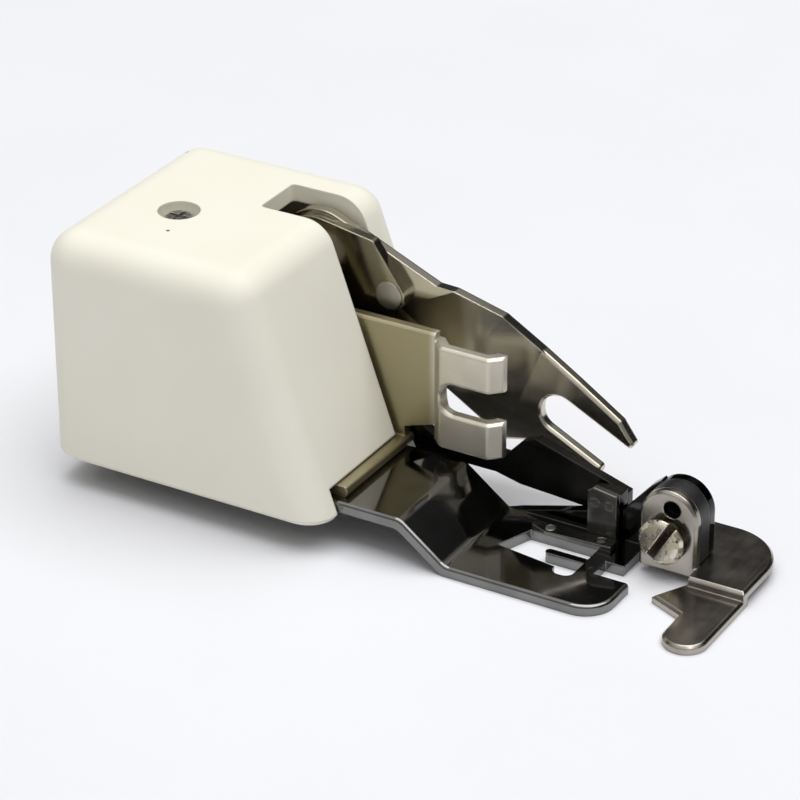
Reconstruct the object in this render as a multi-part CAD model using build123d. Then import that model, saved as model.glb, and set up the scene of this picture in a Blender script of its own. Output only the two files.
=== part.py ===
from build123d import *
import os
from math import cos, radians, sin, tan

# Side cutter presser foot for a low-shank sewing machine, sizes in millimetres.
# Working frame: X from the near edge of the sole, Y from the foot of the ramp towards
# the back, Z from the underside of the sole. The finished pieces are centred at the end.

# Sheets and clearances
SHEET = 1.2
GUIDE_SHEET = 1.0
LEVER_SHEET = 1.2
RUN_GAP = 0.05
LANE_GAP = 0.2
HOUSING_FIT = 0.2
BLADE_GAP = 0.05
BLADE_SIDE_GAP = 0.5
OVERCUT = 1.0
TOUCH = 0.01

# Moulded housing
HOUSING_NEAR = -3.9
HOUSING_WIDTH = 30.0
HOUSING_BACK = 47.6
HOUSING_LENGTH = 34.8
HOUSING_FOOT = 3.4
HOUSING_TOP = 30.0
HOUSING_WALL = 2.0
FRONT_LEAN = 19.8
HOUSING_ROUND = 3.6
RIM_BEVEL = 0.6
SLOT_NEAR = 13.6
SLOT_WIDTH = 6.6
SLOT_BACK = 30.6
SLOT_ROUND = 0.5

# Screw that holds the housing down
POST_X = 8.4
POST_Y = 37.6
POST_RADIUS = 3.0
POST_RIVET_RADIUS = 1.8
BOSS_RADIUS = 3.9
BOSS_DEPTH = 2.8
RECESS_RADIUS = 2.3
RECESS_DEPTH = 1.8
SCREW_RADIUS = 1.0
SCREW_HEAD_RADIUS = 1.9
SCREW_HEAD_HEIGHT = 1.2
SCREW_LENGTH = 8.0
POST_BORE_SPARE = 1.0
DRIVE_SLOT_LENGTH = 2.3
DRIVE_SLOT_WIDTH = 0.5
DRIVE_SLOT_DEPTH = 0.5

# Base plate: upper level, ramp and sole
STEP_RISE = 4.1
RAMP_TOP = 6.0
RAMP_FOOT = 0.6
SOLE_FRONT = -17.9
SOLE_WIDTH = 14.4
TOE_ROUND = 3.4
EDGE_ROUND = 0.4
BEND_ROUND = 1.6
NECK_LAP = 1.0
FLANGE_NEAR = 14.4
FLANGE_START = 1.5
FLANGE_MID_Y = -13.0
FLANGE_MID_Z = 4.6
FLANGE_SHOULDER = (-16.3, 8.5)
FLANGE_BROW = (-17.5, 9.55)

# Needle opening, stitch finger and front slot of the sole
NEEDLE_NEAR = 5.9
NEEDLE_BACK = (6.9, -2.4)
NEEDLE_SLANT = 1.6
NEEDLE_FRONT = -12.0
NOTCH_NEAR = 4.7
NOTCH_LENGTH = 2.4
NOTCH_ROUND = 1.0
FINGER_NEAR = 7.9
FINGER_WIDTH = 1.0
FINGER_TIP = -7.3
TOE_SLOT_NEAR = 6.6
TOE_SLOT_WIDTH = 2.8
TOE_SLOT_BACK = -13.8
FAR_TOE_FRONT = -15.9

# Shank bracket with the hooks for the presser bar
BRACKET_NEAR = 14.2
BRACKET_FRONT = 9.5
BRACKET_BACK = 40.0
BRACKET_TOP = 19.7
BRACKET_EAR = 3.1
BRACKET_KNEE = 2.0
BRACKET_TOE = 0.5
LEG_NEAR = 1.3
LEG_FRONT = 12.7
LEG_ROUND = 0.5
HOOK_OFFSET = 1.2
HOOK_TOP = 19.0
HOOK_BOTTOM = 6.9
HOOK_TIP = 1.2
HOOK_CURL = 2.1
HOOK_ROUND = 0.7
HOOK_BEVEL = 0.3
BAR_SLOT_WIDTH = 3.6
BAR_SLOT_ROOT = 8.4
BAR_SLOT_MID = 13.0
BRACKET_RIVET_RADIUS = 1.2
BRACKET_RIVET_HEAD = 2.1
RIVET_HEAD_HEIGHT = 0.6
RIVET_SETBACK = 6.0
RIVET_SPACING = 9.0

# Fork lever: pivot, crease lines and fork
LEVER_SETBACK = 5.96
LEVER_DEPTH = 6.5
LEVER_HUB = 5.2
LEVER_TANGENT = 21.0
LEVER_PIN_RADIUS = 2.0
PIVOT_HEAD_SPREAD = 1.2
PIVOT_HEAD_THICK = 1.0
PIVOT_NECK_DEPTH = 0.5
CLIP_SPREAD = 1.0
CLIP_THICK = 0.5
CLIP_GRIP = 0.3
CREASE_TOP_LEAD = 16.5
CREASE_TOP_DROP = 0.6
CREASE_FOOT_LEAD = 9.9
CREASE_FOOT_DROP = 4.1
APRON_BACK_LEAD = 8.2
APRON_BACK_DROP = 7.8
DIP_LEAD = 14.3
DIP_DROP = 0.5
FORK_NEAR = 21.8
CREASE_FRONT_TOP = (0.6, 16.6)
CREASE_FRONT_FOOT = (4.1, 8.1)
APRON_FRONT = (5.0, 4.6)
SWELL_TOP = (4.6, 20.3)
SWELL_REACH = 0.55
FORK_DROP = 27.0
FORK_ROOT = (-1.4, 9.4)
FORK_GAP = 4.3
UPPER_PRONG_LENGTH = 8.8
UPPER_PRONG_HEIGHT = 2.9
UPPER_SHOULDER_LENGTH = 6.2
UPPER_SHOULDER_HEIGHT = 2.2
LOWER_PRONG_LENGTH = 7.3
LOWER_PRONG_HEIGHT = 2.1
LOWER_SHOULDER_LENGTH = 5.8
PRONG_TIP_HEIGHT = 0.85
PRONG_TIP_SLANT = 0.25
PRONG_ROUND = 0.4
FORK_BEVEL = 0.3
LEVER_SWING = 35.0

# Crank plate on the lever and its pins
CRANK_HUB = 4.8
CRANK_CORNER_LEAD = 6.8
CRANK_CORNER_RISE = 3.0
CRANK_CORNER_ROUND = 0.7
CRANK_RIVET_LEAD = 9.1
CRANK_RIVET_DROP = 2.3
CRANK_END_RADIUS = 1.9
CRANK_RIVET_RADIUS = 1.0
CRANK_RIVET_HEAD = 1.6
DRIVE_PIN_LEAD = 1.0
DRIVE_PIN_DROP = 9.5
DRIVE_PIN_RADIUS = 1.0
DRIVE_END_RADIUS = 2.2
BUSH_WALL = 0.7

# Knife lever and its cam slot
KNIFE_Y = 31.0
KNIFE_Z = 9.5
KNIFE_HUB = 3.2
KNIFE_PIN_RADIUS = 1.6
KNIFE_SWING = 6.0
CAM_GAP = 0.15
HORN_LEAD = 9.0
HORN_TRAIL = 2.6
HORN_RISE = 3.4
HORN_CORNER = 2.0
KNIFE_BAR_TOP = 8.6
KNIFE_BAR_FOOT = (13.5, 6.0)
KNIFE_NECK_TOP = 6.6
KNIFE_NECK_BACK = 10.5
KNIFE_NECK_FRONT = 1.6
KNIFE_NECK_FOOT = (12.6, 4.2)
KNIFE_NECK_BEND = (2.8, 4.2)
KNIFE_WEB_SHOULDER = (-0.4, 8.8)
KNIFE_WEB_PEAK = (-2.0, 9.4)
KNIFE_WEB_FOOT = (-0.2, 3.5)
KNIFE_TIP_TOP = 6.0
KNIFE_TIP_FOOT = 2.7

# Knives
BLADE_THICK = 0.8
BLADE_BACK = -9.6
BLADE_WIDTH = 3.4
BLADE_TOP = 7.2
BLADE_RAKE = 0.9
BLADE_HEAD_CORNER = 0.6
BLADE_HEAD_DROP = 0.45
BLADE_FOOT = 0.3
BLADE_SPACER_BOTTOM = 4.9
BLADE_RIVET_RADIUS = 0.5
BLADE_RIVET_SPACING = 1.75
LOWER_KNIFE_BACK = -3.6
LOWER_KNIFE_FRONT = -13.4
LOWER_KNIFE_WIDTH = 1.9
LOWER_KNIFE_HEIGHT = 0.6
LOWER_KNIFE_BEVEL = 0.5
LOWER_KNIFE_SLOPE = 1.5
LOWER_RIVET_FROM_BACK = 2.2
LOWER_RIVET_FROM_FRONT = 1.6
LOWER_KNIFE_RIVET_RADIUS = 0.55

# Front guide: holder, plate, screw and nut
GUIDE_NEAR = 11.3
LUG_BACK = -16.6
LUG_FRONT = -23.2
LUG_CENTRE_Z = 7.0
LUG_FOOT = 2.2
GUIDE_HOLE_Y = -20.3
GUIDE_HOLE_Z = 8.3
GUIDE_HOLE_RADIUS = 1.0
GUIDE_SCREW_Y = -19.6
GUIDE_SCREW_Z = 4.75
GUIDE_SCREW_RADIUS = 1.5
GUIDE_SCREW_HEAD = 2.6
GUIDE_HEAD_HEIGHT = 1.4
GUIDE_HEAD_BEVEL = 0.4
GUIDE_SLOT_WIDTH = 0.9
GUIDE_SLOT_DEPTH = 0.8
GUIDE_BEVEL = 0.3
GUIDE_SLOT_TURN = -60.0
GUIDE_NUT_RADIUS = 2.8
GUIDE_NUT_HEIGHT = 1.6
GUIDE_SCREW_END = 0.6
GUIDE_LEDGE = 1.0
GUIDE_FAR = 21.6
GUIDE_FRONT = -29.6
GUIDE_STEP_NEAR = 9.6
GUIDE_CORNER = 6.2
GUIDE_PLATE_BACK = -17.6
TONGUE_NEAR = -1.4
TONGUE_WIDTH = 4.8
TONGUE_EDGE = 3.4
TONGUE_FLARE_WIDTH = 1.8
TONGUE_FLARE_LENGTH = 4.0

# Places worked out from the sizes above
HOUSING_FAR = HOUSING_NEAR + HOUSING_WIDTH
HOUSING_FOOT_FRONT = HOUSING_BACK - HOUSING_LENGTH
LEVER_Z = HOUSING_TOP - LEVER_DEPTH
LEVER_Y = HOUSING_FOOT_FRONT + (LEVER_Z - HOUSING_FOOT) * tan(radians(FRONT_LEAN)) + LEVER_SETBACK
CREASE_BACK_TOP = (LEVER_Y - CREASE_TOP_LEAD, LEVER_Z - CREASE_TOP_DROP)
CREASE_BACK_FOOT = (LEVER_Y - CREASE_FOOT_LEAD, LEVER_Z - CREASE_FOOT_DROP)
APRON_BACK = (LEVER_Y - APRON_BACK_LEAD, LEVER_Z - APRON_BACK_DROP)
LEVER_DIP = (LEVER_Y - DIP_LEAD, LEVER_Z - DIP_DROP)
CRANK_CORNER = (LEVER_Y - CRANK_CORNER_LEAD, LEVER_Z + CRANK_CORNER_RISE)
CRANK_RIVET = (LEVER_Y - CRANK_RIVET_LEAD, LEVER_Z - CRANK_RIVET_DROP)
DRIVE_PIN = (LEVER_Y - DRIVE_PIN_LEAD, LEVER_Z - DRIVE_PIN_DROP)
HORN_FRONT = DRIVE_PIN[0] - HORN_LEAD
HORN_BACK = DRIVE_PIN[0] + HORN_TRAIL
HORN_TOP = DRIVE_PIN[1] + HORN_RISE
BASE_TOP = STEP_RISE + SHEET
LEG_TOP = BASE_TOP + SHEET
FLANGE_FAR = FLANGE_NEAR + SHEET
BRACKET_FAR = BRACKET_NEAR + SHEET
KNIFE_NEAR = BRACKET_FAR + 2 * LANE_GAP
KNIFE_FAR = KNIFE_NEAR + SHEET
CRANK_NEAR = KNIFE_FAR + LANE_GAP
LEVER_NEAR = CRANK_NEAR + SHEET
LEVER_FAR = LEVER_NEAR + LEVER_SHEET
LUG_RADIUS = (LUG_BACK - LUG_FRONT) / 2
LUG_Y = (LUG_BACK + LUG_FRONT) / 2
SPACER_NEAR = GUIDE_NEAR + GUIDE_SHEET
BLADE_FAR = FLANGE_NEAR - 2 * LANE_GAP
BLADE_NEAR = BLADE_FAR - BLADE_THICK
BLADE_FRONT = BLADE_BACK - BLADE_WIDTH
LOWER_KNIFE_FAR = BLADE_NEAR - BLADE_GAP
NEEDLE_FAR = LOWER_KNIFE_FAR - LOWER_KNIFE_WIDTH
GUIDE_PLATE_TOP = GUIDE_LEDGE + GUIDE_SHEET
BOSS_FOOT = HOUSING_TOP - HOUSING_WALL - BOSS_DEPTH
CENTRE_X = (HOUSING_NEAR + HOUSING_FAR) / 2
CENTRE_Y = (HOUSING_BACK + GUIDE_FRONT) / 2


def plate(sketch, near, thickness):
    """A sheet piece lying in a plane of constant X, from its outline in Y and Z."""
    return extrude(Plane.YZ.offset(near) * sketch, amount=thickness)


def slab(sketch, bottom, thickness):
    """A sheet piece lying flat, from its outline in X and Y."""
    return extrude(Plane.XY.offset(bottom) * sketch, amount=thickness)


def polygon(*points):
    """A flat face with straight sides through the given corners."""
    return make_face(Polyline(*points, close=True))


def disc(place, radius):
    """A round face at a place of the sketch plane."""
    return Pos(*place) * Circle(radius)


def hull(*discs):
    """The rounded outline stretched round several discs."""
    edges = [edge for each in discs for edge in each.edges()]
    return make_hull(edges)


def rod(place, near, far, radius):
    """A round bar along X at a place in Y and Z."""
    return plate(disc(place, radius), near, far - near)


def column(x, y, bottom, top, radius):
    """A round bar along Z."""
    return slab(disc((x, y), radius), bottom, top - bottom)


def box(x0, x1, y0, y1, z0, z1):
    """A block between two corners."""
    return Pos((x0 + x1) / 2, (y0 + y1) / 2, (z0 + z1) / 2) * Box(x1 - x0, y1 - y0, z1 - z0)


def edges_at(body, axis, value):
    """Edges of a body that lie wholly at one value of X, Y or Z."""
    found = []
    for edge in body.edges():
        bounds = edge.bounding_box()
        low = getattr(bounds.min, axis)
        high = getattr(bounds.max, axis)
        if value - TOUCH < low and high < value + TOUCH:
            found.append(edge)
    return found


def swung(place, pivot, angle):
    """A place in Y and Z after its lever has raised its front by an angle."""
    dy = place[0] - pivot[0]
    dz = place[1] - pivot[1]
    c = cos(radians(angle))
    s = sin(radians(angle))
    return (pivot[0] + dy * c + dz * s, pivot[1] - dy * s + dz * c)


def wedge(near, far, back, foot, top, lean):
    """A block whose front leans back, from its sides, back, foot and top."""
    top_front = foot + (top - HOUSING_FOOT) * tan(radians(lean))
    outline = polygon((foot, HOUSING_FOOT), (back, HOUSING_FOOT), (back, top), (top_front, top))
    return plate(outline, near, far - near)


def housing():
    """Moulded cover: leaning front, rounded edges, open foot, lever slot and screw recess."""
    outer = wedge(HOUSING_NEAR, HOUSING_FAR, HOUSING_BACK, HOUSING_FOOT_FRONT, HOUSING_TOP, FRONT_LEAN)
    foot = outer.faces().sort_by(Axis.Z)[0]
    outer = fillet(outer.edges() - foot.edges(), HOUSING_ROUND)
    wall = HOUSING_WALL
    front_wall = wall / cos(radians(FRONT_LEAN))
    cavity = wedge(
        HOUSING_NEAR + wall,
        HOUSING_FAR - wall,
        HOUSING_BACK - wall,
        HOUSING_FOOT_FRONT + front_wall,
        HOUSING_TOP - wall,
        FRONT_LEAN,
    )
    mouth = cavity.faces().sort_by(Axis.Z)[0]
    cavity = chamfer(cavity.edges() - mouth.edges(), HOUSING_ROUND - wall)
    shell = outer - cavity
    boss = column(POST_X, POST_Y, BOSS_FOOT, HOUSING_TOP - wall / 2, BOSS_RADIUS)
    recess = column(POST_X, POST_Y, HOUSING_TOP - RECESS_DEPTH, HOUSING_TOP + OVERCUT, RECESS_RADIUS)
    bore = column(POST_X, POST_Y, BOSS_FOOT - OVERCUT, HOUSING_TOP, SCREW_RADIUS + 2 * RUN_GAP)
    slot_far = SLOT_NEAR + SLOT_WIDTH
    slot = box(SLOT_NEAR, slot_far, 0, SLOT_BACK, 0, HOUSING_TOP + OVERCUT)
    slot = fillet(slot.edges().filter_by(Axis.Z).sort_by(Axis.Y)[-2:], SLOT_ROUND)
    passage = box(-HOUSING_FIT, slot_far, 0, SLOT_BACK - HOUSING_ROUND, 0, LEG_TOP + HOUSING_FIT)
    shell = shell + boss - recess - bore - slot - passage
    rim = shell.faces().filter_by(Axis.Z).sort_by(Axis.Z)[0]
    outside = [e for e in rim.outer_wire().edges() if on_outside(e)]
    return chamfer(outside, RIM_BEVEL)


def on_outside(edge):
    """Whether a foot edge lies on the housing's near, far or back outer face."""
    middle = edge.center()
    sides = (middle.X - HOUSING_NEAR, HOUSING_FAR - middle.X, HOUSING_BACK - middle.Y)
    return min(sides) < TOUCH


def housing_screw():
    """Pan-head screw at the bottom of the recess, with a cross recess."""
    seat = HOUSING_TOP - RECESS_DEPTH
    head_top = seat + SCREW_HEAD_HEIGHT
    head = column(POST_X, POST_Y, seat, head_top, SCREW_HEAD_RADIUS)
    head = chamfer(head.edges().sort_by(Axis.Z)[-1], SCREW_HEAD_HEIGHT / 2)
    half = DRIVE_SLOT_LENGTH / 2
    thin = DRIVE_SLOT_WIDTH / 2
    floor = head_top - DRIVE_SLOT_DEPTH
    head -= box(POST_X - half, POST_X + half, POST_Y - thin, POST_Y + thin, floor, head_top)
    head -= box(POST_X - thin, POST_X + thin, POST_Y - half, POST_Y + half, floor, head_top)
    return head + column(POST_X, POST_Y, seat - SCREW_LENGTH, seat, SCREW_RADIUS)


def housing_post():
    """Pillar on the base plate that the housing screw goes into, with a riveted foot."""
    body = column(POST_X, POST_Y, LEG_TOP, BOSS_FOOT, POST_RADIUS)
    foot = column(POST_X, POST_Y, STEP_RISE, LEG_TOP, POST_RIVET_RADIUS)
    deep = HOUSING_TOP - RECESS_DEPTH - SCREW_LENGTH - POST_BORE_SPARE
    return body + foot - column(POST_X, POST_Y, deep, BOSS_FOOT, SCREW_RADIUS + RUN_GAP)


def sole_outline():
    """Outline of the lower level, with its rounded near toe and shorter far toe."""
    outline = polygon(
        (0, RAMP_FOOT),
        (SOLE_WIDTH, RAMP_FOOT),
        (FLANGE_FAR, FLANGE_START - 2 * SHEET),
        (FLANGE_FAR, FAR_TOE_FRONT),
        (TOE_SLOT_NEAR + TOE_SLOT_WIDTH, FAR_TOE_FRONT),
        (TOE_SLOT_NEAR + TOE_SLOT_WIDTH, SOLE_FRONT),
        (0, SOLE_FRONT),
    )
    toe = outline.vertices().sort_by(Axis.X)[:2].sort_by(Axis.Y)[0]
    return fillet(toe, TOE_ROUND)


def sole_openings():
    """Needle opening round the stitch finger, slot between the toes, and slot for the moving knife."""
    needle = polygon(
        NEEDLE_BACK,
        (NEEDLE_FAR, NEEDLE_BACK[1] - NEEDLE_SLANT),
        (NEEDLE_FAR, NEEDLE_FRONT),
        (FINGER_NEAR + FINGER_WIDTH, NEEDLE_FRONT),
        (FINGER_NEAR + FINGER_WIDTH, FINGER_TIP),
        (FINGER_NEAR, FINGER_TIP),
        (FINGER_NEAR, NEEDLE_FRONT),
        (NOTCH_NEAR, NEEDLE_FRONT),
        (NOTCH_NEAR, NEEDLE_FRONT + NOTCH_LENGTH),
        (NEEDLE_NEAR, NEEDLE_FRONT + NOTCH_LENGTH),
    )
    notch = needle.vertices().sort_by(Axis.X)[:2]
    needle = fillet(notch, NOTCH_ROUND)
    tip = [v for v in needle.vertices() if abs(v.Y - FINGER_TIP) < TOUCH]
    needle = fillet(tip, FINGER_WIDTH / 2 - TOUCH)
    toe_slot = polygon(
        (TOE_SLOT_NEAR, TOE_SLOT_BACK),
        (TOE_SLOT_NEAR + TOE_SLOT_WIDTH, TOE_SLOT_BACK),
        (TOE_SLOT_NEAR + TOE_SLOT_WIDTH, SOLE_FRONT - OVERCUT),
        (TOE_SLOT_NEAR, SOLE_FRONT - OVERCUT),
    )
    blade_slot = polygon(
        (LOWER_KNIFE_FAR, BLADE_BACK + BLADE_SIDE_GAP),
        (FLANGE_NEAR, BLADE_BACK + BLADE_SIDE_GAP),
        (FLANGE_NEAR, BLADE_FRONT - BLADE_SIDE_GAP),
        (LOWER_KNIFE_FAR, BLADE_FRONT - BLADE_SIDE_GAP),
    )
    return needle, toe_slot, blade_slot


def flange_outline():
    """Upturned far edge of the sole, rising to the round lug that carries the guide."""
    rise = polygon(
        (FLANGE_START - 2 * SHEET, 0),
        (FLANGE_START - 2 * SHEET, SHEET),
        (FLANGE_MID_Y, FLANGE_MID_Z),
        FLANGE_SHOULDER,
        FLANGE_BROW,
        (LUG_Y, LUG_CENTRE_Z),
        (LUG_FRONT, LUG_CENTRE_Z),
        (LUG_FRONT, LUG_FOOT),
        (LUG_BACK, LUG_FOOT),
        (FAR_TOE_FRONT, SHEET),
        (FAR_TOE_FRONT, 0),
    )
    return rise + disc((LUG_Y, LUG_CENTRE_Z), LUG_RADIUS)


def base_plate():
    """Folded plate: level under the housing, ramp, sole with its openings and far flange."""
    profile = polygon(
        (HOUSING_FOOT_FRONT + NECK_LAP, STEP_RISE),
        (RAMP_TOP, STEP_RISE),
        (RAMP_FOOT, 0),
        (RAMP_FOOT - SHEET, 0),
        (RAMP_FOOT - SHEET, SHEET),
        (RAMP_FOOT - SHEET / 4, SHEET),
        (RAMP_TOP - SHEET / 4, BASE_TOP),
        (HOUSING_FOOT_FRONT + NECK_LAP, BASE_TOP),
    )
    bends = [v for v in profile.vertices() if RAMP_FOOT - SHEET / 2 < v.X < RAMP_TOP + SHEET]
    profile = fillet(bends, BEND_ROUND)
    ramp = plate(profile, 0, SOLE_WIDTH)
    inner_wall = HOUSING_WALL + HOUSING_FIT
    lean = radians(FRONT_LEAN)
    front_wall = inner_wall / cos(lean) + (BASE_TOP - HOUSING_FOOT) * tan(lean)
    upper = box(
        HOUSING_NEAR + inner_wall,
        HOUSING_FAR - inner_wall,
        HOUSING_FOOT_FRONT + front_wall,
        HOUSING_BACK - inner_wall,
        STEP_RISE,
        BASE_TOP,
    )
    upper = chamfer(upper.edges().filter_by(Axis.Z), HOUSING_ROUND - HOUSING_WALL)
    neck = box(0, SOLE_WIDTH, HOUSING_FOOT_FRONT, HOUSING_FOOT_FRONT + 2 * front_wall, STEP_RISE, BASE_TOP)
    needle, toe_slot, blade_slot = sole_openings()
    sole = slab(sole_outline() - needle - toe_slot - blade_slot, 0, SHEET)
    flange = plate(flange_outline(), FLANGE_NEAR, SHEET)
    body = ramp + upper + neck + sole + flange
    screw_hole = (FLANGE_NEAR - OVERCUT, FLANGE_FAR + OVERCUT, GUIDE_SCREW_RADIUS + RUN_GAP)
    body -= rod((GUIDE_SCREW_Y, GUIDE_SCREW_Z), *screw_hole)
    body -= column(POST_X, POST_Y, 0, BASE_TOP + OVERCUT, POST_RIVET_RADIUS + RUN_GAP)
    for x, y in bracket_rivet_places():
        body -= column(x, y, 0, BASE_TOP + OVERCUT, BRACKET_RIVET_RADIUS + RUN_GAP)
    for x, y in lower_knife_rivet_places():
        body -= column(x, y, -OVERCUT, SHEET + OVERCUT, LOWER_KNIFE_RIVET_RADIUS + RUN_GAP)
    near_edge = [e for e in edges_at(body, "X", 0) if abs(e.center().Z - SHEET) < TOUCH]
    return fillet(near_edge, EDGE_ROUND)


def bracket_rivet_places():
    """Where the bracket's flat leg is riveted to the base plate."""
    x = (LEG_NEAR + BRACKET_NEAR) / 2
    return [(x, LEG_FRONT + RIVET_SETBACK), (x, LEG_FRONT + RIVET_SETBACK + RIVET_SPACING)]


def shank_bracket():
    """Angle bracket: flat leg, upright web with two pivot holes, and the slotted hook channel."""
    leg = box(LEG_NEAR, BRACKET_FAR, LEG_FRONT, BRACKET_BACK, BASE_TOP, LEG_TOP)
    leg = fillet(leg.edges().filter_by(Axis.X).group_by(Axis.Y)[0], LEG_ROUND)
    web = polygon(
        (BRACKET_FRONT, HOOK_BOTTOM + BRACKET_KNEE),
        (LEG_FRONT + BRACKET_TOE, LEG_TOP + SHEET),
        (LEG_FRONT + BRACKET_TOE, BASE_TOP),
        (BRACKET_BACK, BASE_TOP),
        (BRACKET_BACK, KNIFE_Z + 2 * KNIFE_HUB),
        (LEVER_Y + 2 * LEVER_HUB, LEVER_Z + BRACKET_EAR),
        (LEVER_Y - SHEET, LEVER_Z + BRACKET_EAR),
        (LEVER_Y - LEVER_HUB, BRACKET_TOP),
        (BRACKET_FRONT, BRACKET_TOP),
    )
    body = leg + plate(web, BRACKET_NEAR, SHEET)
    hook_near = BRACKET_NEAR - HOOK_OFFSET
    hook_far = hook_near + HOOK_CURL
    bend = HOOK_OFFSET
    channel = polygon(
        (BRACKET_NEAR, BRACKET_FRONT + bend),
        (BRACKET_NEAR, BRACKET_FRONT),
        (hook_near, BRACKET_FRONT - bend),
        (hook_near, HOOK_TIP + bend),
        (hook_near + bend, HOOK_TIP),
        (hook_far, HOOK_TIP),
        (hook_far, HOOK_TIP + SHEET),
        (hook_near + SHEET + bend / 2, HOOK_TIP + SHEET),
        (hook_near + SHEET, HOOK_TIP + SHEET + bend / 2),
        (hook_near + SHEET, BRACKET_FRONT - bend - SHEET / 2),
        (BRACKET_FAR, BRACKET_FRONT - SHEET / 2),
        (BRACKET_FAR, BRACKET_FRONT + bend),
    )
    outside = [v for v in channel.vertices() if v.X < BRACKET_NEAR and v.X < hook_near + bend / 2]
    channel = fillet(outside, HOOK_ROUND)
    hooks = slab(channel, HOOK_BOTTOM, HOOK_TOP - HOOK_BOTTOM)
    root = BAR_SLOT_ROOT - BAR_SLOT_WIDTH / 2
    half = BAR_SLOT_WIDTH / 2
    near = hook_near - OVERCUT
    far = BRACKET_FAR + OVERCUT
    slot = box(near, far, HOOK_TIP - OVERCUT, root, BAR_SLOT_MID - half, BAR_SLOT_MID + half)
    slot += rod((root, BAR_SLOT_MID), near, far, half)
    knee = box(near, far, BRACKET_FRONT, BRACKET_FRONT + 2 * bend, 0, HOOK_BOTTOM + BRACKET_KNEE)
    body = body + (hooks - slot - knee)
    pin_reach = (BRACKET_NEAR - OVERCUT, BRACKET_FAR + OVERCUT)
    body = chamfer(edges_at(body, "X", hook_near), HOOK_BEVEL)
    web_top = [e for e in edges_at(body, "Z", BRACKET_TOP) if e.center().X < BRACKET_NEAR + TOUCH]
    body = chamfer(web_top, HOOK_BEVEL)
    body -= rod((LEVER_Y, LEVER_Z), *pin_reach, LEVER_PIN_RADIUS)
    body -= rod((KNIFE_Y, KNIFE_Z), *pin_reach, KNIFE_PIN_RADIUS)
    body -= column(POST_X, POST_Y, 0, LEG_TOP + OVERCUT, POST_RIVET_RADIUS + RUN_GAP)
    for x, y in bracket_rivet_places():
        body -= column(x, y, 0, LEG_TOP + OVERCUT, BRACKET_RIVET_RADIUS + RUN_GAP)
    return body


def bracket_rivets():
    """Two rivets through the bracket's leg and the base plate."""
    rivets = []
    for x, y in bracket_rivet_places():
        shank = column(x, y, STEP_RISE, LEG_TOP, BRACKET_RIVET_RADIUS)
        head = column(x, y, LEG_TOP, LEG_TOP + RIVET_HEAD_HEIGHT, BRACKET_RIVET_HEAD)
        rivets.append(shank + chamfer(head.edges().sort_by(Axis.Z)[-1], RIVET_HEAD_HEIGHT / 2))
    return Part() + rivets


def pivot_pin(place, far, radius):
    """Pivot riveted into the bracket: near head, shaft and a neck for its clip."""
    head = rod(place, BRACKET_NEAR - PIVOT_HEAD_THICK, BRACKET_NEAR, radius + PIVOT_HEAD_SPREAD)
    head = chamfer(head.edges().sort_by(Axis.X)[0], PIVOT_HEAD_THICK / 2)
    shaft = rod(place, BRACKET_NEAR, far, radius)
    neck = rod(place, far, far + CLIP_THICK + 2 * RUN_GAP, radius - PIVOT_NECK_DEPTH)
    tip = rod(place, far + CLIP_THICK + 2 * RUN_GAP, far + 2 * CLIP_THICK, radius)
    return head + shaft + neck + tip


def pivot_clip(place, far, radius):
    """Open retaining clip in the neck of a pivot."""
    neck = radius - PIVOT_NECK_DEPTH
    ring = disc(place, radius + CLIP_SPREAD) - disc(place, neck + RUN_GAP)
    mouth = Pos(place[0], place[1] - radius) * Rectangle(2 * neck - CLIP_GRIP, 2 * radius)
    return plate(ring - mouth, far + RUN_GAP, CLIP_THICK)


def lever_pivot():
    """Pivot of the fork lever."""
    return pivot_pin((LEVER_Y, LEVER_Z), LEVER_FAR + LANE_GAP, LEVER_PIN_RADIUS)


def lever_clip():
    """Clip that keeps the fork lever on its pivot."""
    return pivot_clip((LEVER_Y, LEVER_Z), LEVER_FAR + LANE_GAP, LEVER_PIN_RADIUS)


def lever_bush():
    """Distance bush on the lever pivot, between bracket and crank plate."""
    ring = disc((LEVER_Y, LEVER_Z), LEVER_PIN_RADIUS + BUSH_WALL)
    ring -= disc((LEVER_Y, LEVER_Z), LEVER_PIN_RADIUS + RUN_GAP)
    return plate(ring, BRACKET_FAR, CRANK_NEAR - BRACKET_FAR - RUN_GAP)


def knife_pivot():
    """Pivot of the knife lever."""
    return pivot_pin((KNIFE_Y, KNIFE_Z), KNIFE_FAR + LANE_GAP, KNIFE_PIN_RADIUS)


def knife_clip():
    """Clip that keeps the knife lever on its pivot."""
    return pivot_clip((KNIFE_Y, KNIFE_Z), KNIFE_FAR + LANE_GAP, KNIFE_PIN_RADIUS)


def knife_washer():
    """Washer between the bracket and the knife lever."""
    ring = disc((KNIFE_Y, KNIFE_Z), KNIFE_HUB) - disc((KNIFE_Y, KNIFE_Z), KNIFE_PIN_RADIUS + RUN_GAP)
    return plate(ring, BRACKET_FAR, KNIFE_NEAR - BRACKET_FAR - RUN_GAP)


def between(start, end, share):
    """The place a share of the way from one place in Y and Z to another."""
    return tuple(a + share * (b - a) for a, b in zip(start, end))


def fork_place(along, above):
    """A place in Y and Z from the root of the fork: along the prongs and square above them."""
    c = cos(radians(FORK_DROP))
    s = sin(radians(FORK_DROP))
    return (FORK_ROOT[0] - along * c - above * s, FORK_ROOT[1] - along * s + above * c)


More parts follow.
